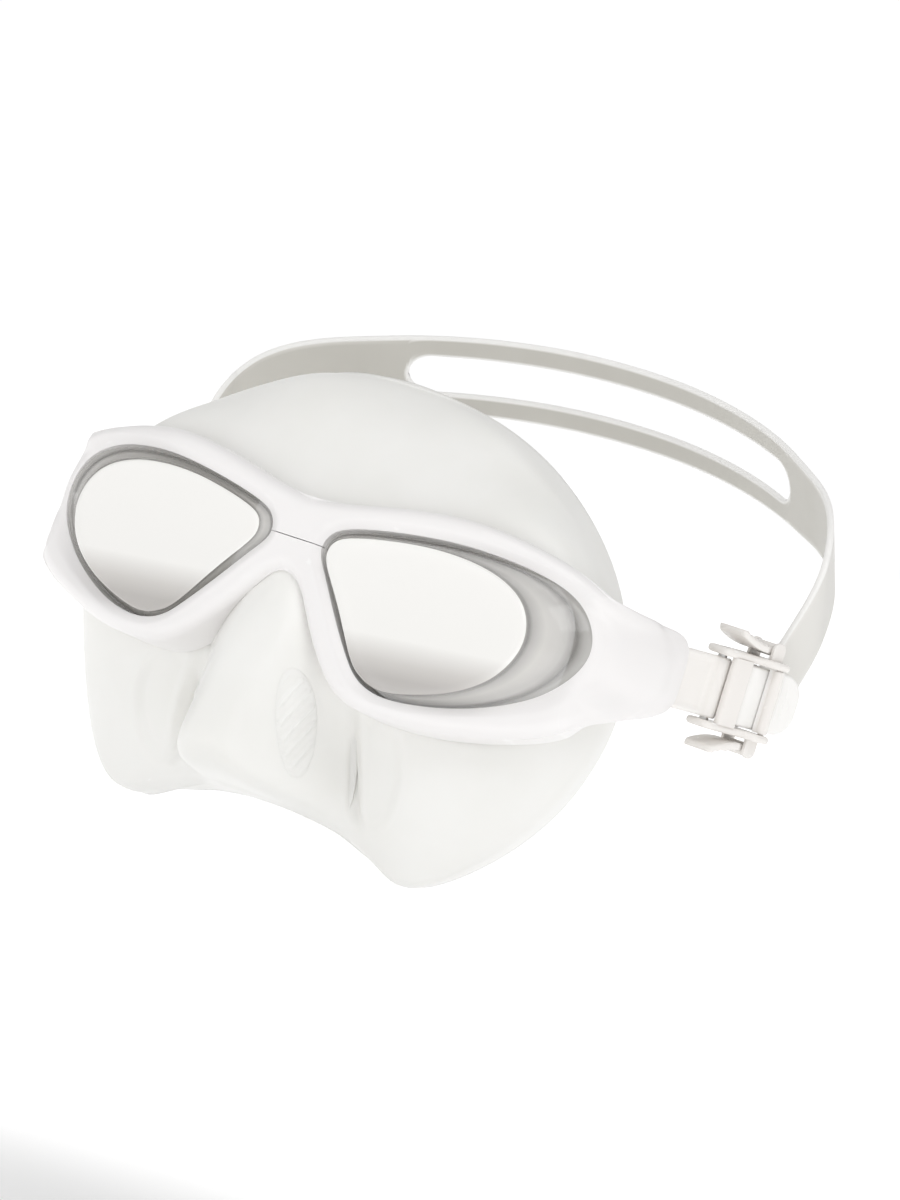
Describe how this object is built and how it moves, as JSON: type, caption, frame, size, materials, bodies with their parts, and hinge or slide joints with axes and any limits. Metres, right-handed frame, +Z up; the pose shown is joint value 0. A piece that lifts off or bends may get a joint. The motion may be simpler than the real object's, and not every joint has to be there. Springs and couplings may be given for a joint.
{
  "type": "diving mask",
  "caption": "Low-volume diving mask: two moulded lenses in a wrap-round frame, a silicone skirt with nose pocket, squeeze buckles and a split head strap.",
  "frame": {"origin": "middle of the face opening, in the plane where the skirt meets the face", "axes": "+X towards the wearer's left, +Y towards the face and the back of the head, +Z up"},
  "size_m": [0.207, 0.1717, 0.1448],
  "materials": {
    "frame_white": "satin white moulded plastic",
    "skirt_silicone": "satin translucent white silicone",
    "strap_silicone": "satin white silicone",
    "lens_clear": "clear polished",
    "tab_milky": "milky flexible plastic",
    "buckle_white": "glossy white moulded plastic",
    "pin_steel": "drawn stainless steel"
  },
  "bodies": {
    "mask": {"skirt": "skirt_silicone", "lens_left": "lens_clear", "lens_right": "lens_clear", "inner_frame": "frame_white", "upper_frame": "frame_white", "lower_frame": "frame_white", "temple_left": "frame_white", "temple_right": "frame_white", "tab_left": "tab_milky", "tab_right": "tab_milky", "anchor_pin_left": "pin_steel", "anchor_pin_right": "pin_steel"},
    "headband": {"strap": "strap_silicone"},
    "buckle_left": {"buckle_body_left": "buckle_white", "hinge_pin_left": "pin_steel"},
    "roller_left": {"roller_left": "buckle_white"},
    "pawl_left": {"pawl_left": "buckle_white"},
    "button_upper_left": {"button_upper_left": "buckle_white"},
    "button_lower_left": {"button_lower_left": "buckle_white"},
    "buckle_right": {"buckle_body_right": "buckle_white", "hinge_pin_right": "pin_steel"},
    "roller_right": {"roller_right": "buckle_white"},
    "pawl_right": {"pawl_right": "buckle_white"},
    "button_upper_right": {"button_upper_right": "buckle_white"},
    "button_lower_right": {"button_lower_right": "buckle_white"}
  },
  "joints": [
    {"name": "strap_swing", "type": "hinge", "parent": "mask", "child": "headband", "pos_m": [0, 0.048, 0.0105], "axis": [1, 0, 0], "range_deg": [-45, 35], "stiffness_Nm_per_rad": 0.3, "deforming": ["strap"]},
    {"name": "buckle_hinge_left", "type": "hinge", "parent": "mask", "child": "buckle_left", "pos_m": [0.0911, 0.0273, 0.0105], "axis": [0, 0, 1], "range_deg": [-40, 25], "deforming": ["strap"]},
    {"name": "roller_spin_left", "type": "hinge", "parent": "buckle_left", "child": "roller_left", "pos_m": [0.09391, 0.0371, 0.0105], "axis": [0, 0, 1], "continuous": true},
    {"name": "button_upper_press_left", "type": "hinge", "parent": "buckle_left", "child": "button_upper_left", "pos_m": [0.09592, 0.04048, 0.0237], "axis": [0.9613, -0.2756, 0], "range_deg": [0, 8], "stiffness_Nm_per_rad": 0.15},
    {"name": "button_lower_press_left", "type": "hinge", "parent": "buckle_left", "child": "button_lower_left", "pos_m": [0.09592, 0.04048, -0.0027], "axis": [-0.9613, 0.2756, 0], "range_deg": [0, 8], "stiffness_Nm_per_rad": 0.15},
    {"name": "pawl_release_left", "type": "hinge", "parent": "buckle_left", "child": "pawl_left", "pos_m": [0.1013, 0.04039, 0.0105], "axis": [0, 0, 1], "range_deg": [0, 12]},
    {"name": "buckle_hinge_right", "type": "hinge", "parent": "mask", "child": "buckle_right", "pos_m": [-0.0911, 0.0273, 0.0105], "axis": [0, 0, -1], "range_deg": [-40, 25], "deforming": ["strap"]},
    {"name": "roller_spin_right", "type": "hinge", "parent": "buckle_right", "child": "roller_right", "pos_m": [-0.09391, 0.0371, 0.0105], "axis": [0, 0, -1], "continuous": true},
    {"name": "button_upper_press_right", "type": "hinge", "parent": "buckle_right", "child": "button_upper_right", "pos_m": [-0.09592, 0.04048, 0.0237], "axis": [0.9613, 0.2756, 0], "range_deg": [0, 8], "stiffness_Nm_per_rad": 0.15},
    {"name": "button_lower_press_right", "type": "hinge", "parent": "buckle_right", "child": "button_lower_right", "pos_m": [-0.09592, 0.04048, -0.0027], "axis": [-0.9613, -0.2756, 0], "range_deg": [0, 8], "stiffness_Nm_per_rad": 0.15},
    {"name": "pawl_release_right", "type": "hinge", "parent": "buckle_right", "child": "pawl_right", "pos_m": [-0.1013, 0.04039, 0.0105], "axis": [0, 0, -1], "range_deg": [0, 12]}
  ],
  "couplings": [
    {"joint": "button_lower_press_left", "follows": "button_upper_press_left", "ratio": 1},
    {"joint": "pawl_release_left", "follows": "button_upper_press_left", "ratio": 1.5},
    {"joint": "button_lower_press_right", "follows": "button_upper_press_right", "ratio": 1},
    {"joint": "pawl_release_right", "follows": "button_upper_press_right", "ratio": 1.5}
  ]
}
